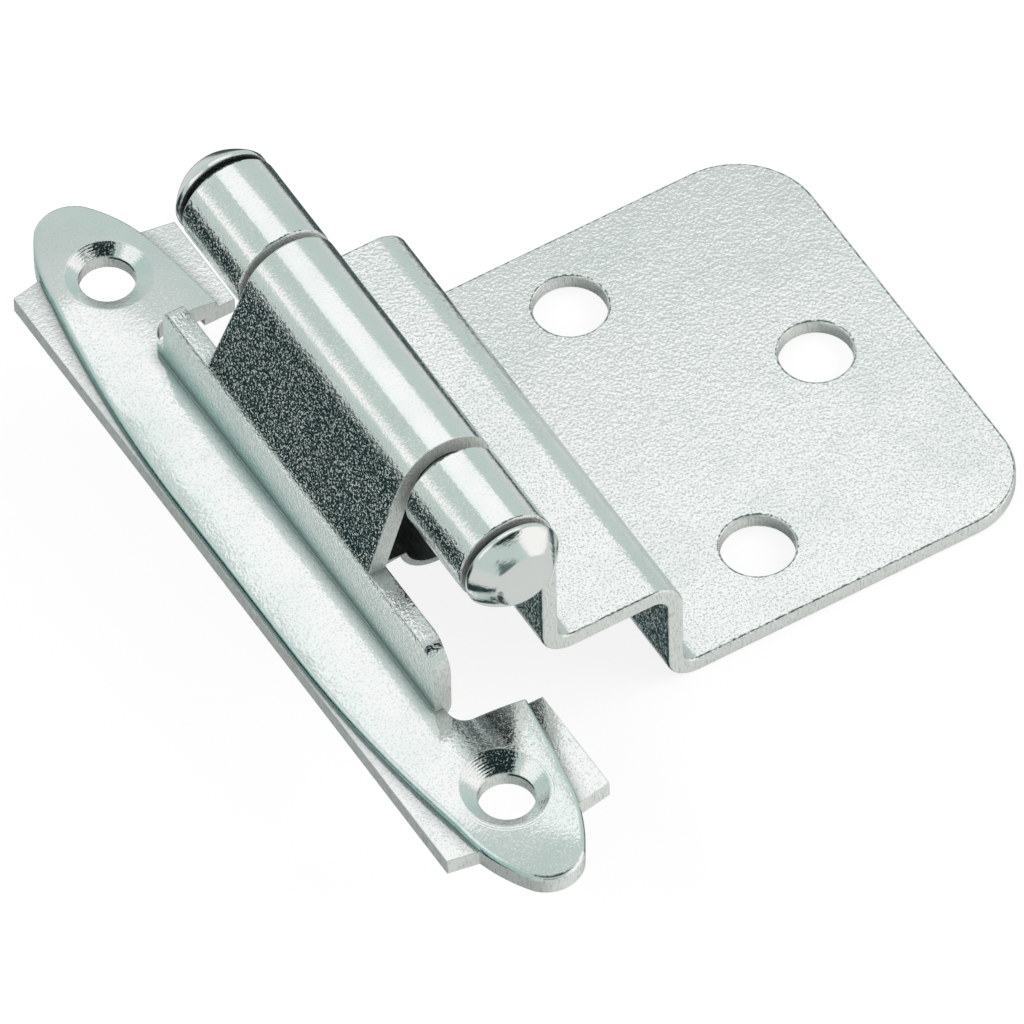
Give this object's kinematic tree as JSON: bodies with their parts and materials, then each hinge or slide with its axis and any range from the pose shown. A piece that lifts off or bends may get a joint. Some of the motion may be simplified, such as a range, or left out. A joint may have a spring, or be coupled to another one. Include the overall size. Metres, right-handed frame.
{
  "type": "self-closing cabinet hinge",
  "caption": "Self-closing inset cabinet hinge: lens-shaped frame wing, rolled barrel and stepped door leaf with rounded corners.",
  "frame": {"origin": "midway between the two frame-screw holes, on the back plane of the frame wing", "axes": "+Z out of the cabinet frame along the frame screws, +Y along the pin, +X from the frame wing towards the door leaf"},
  "size_m": [0.0563, 0.0698, 0.0269],
  "materials": {
    "plated_steel": "bright zinc plating over rolled sheet, fine satin grain",
    "bright_pin": "bright zinc plating, turned and formed heads",
    "spring_steel": "grey spring strip, dull plated"
  },
  "bodies": {
    "frame_side": {"frame_wing": "plated_steel", "closing_spring": "spring_steel"},
    "door_side": {"door_leaf": "plated_steel", "hinge_pin": "bright_pin"}
  },
  "joints": [
    {"name": "door_swing", "type": "hinge", "parent": "frame_side", "child": "door_side", "pos_m": [0.00587, 0, 0.01444], "axis": [0, -1, 0], "range_deg": [0, 180], "stiffness_Nm_per_rad": 0.08, "springref_deg": -34.38, "deforming": ["closing_spring"]}
  ]
}
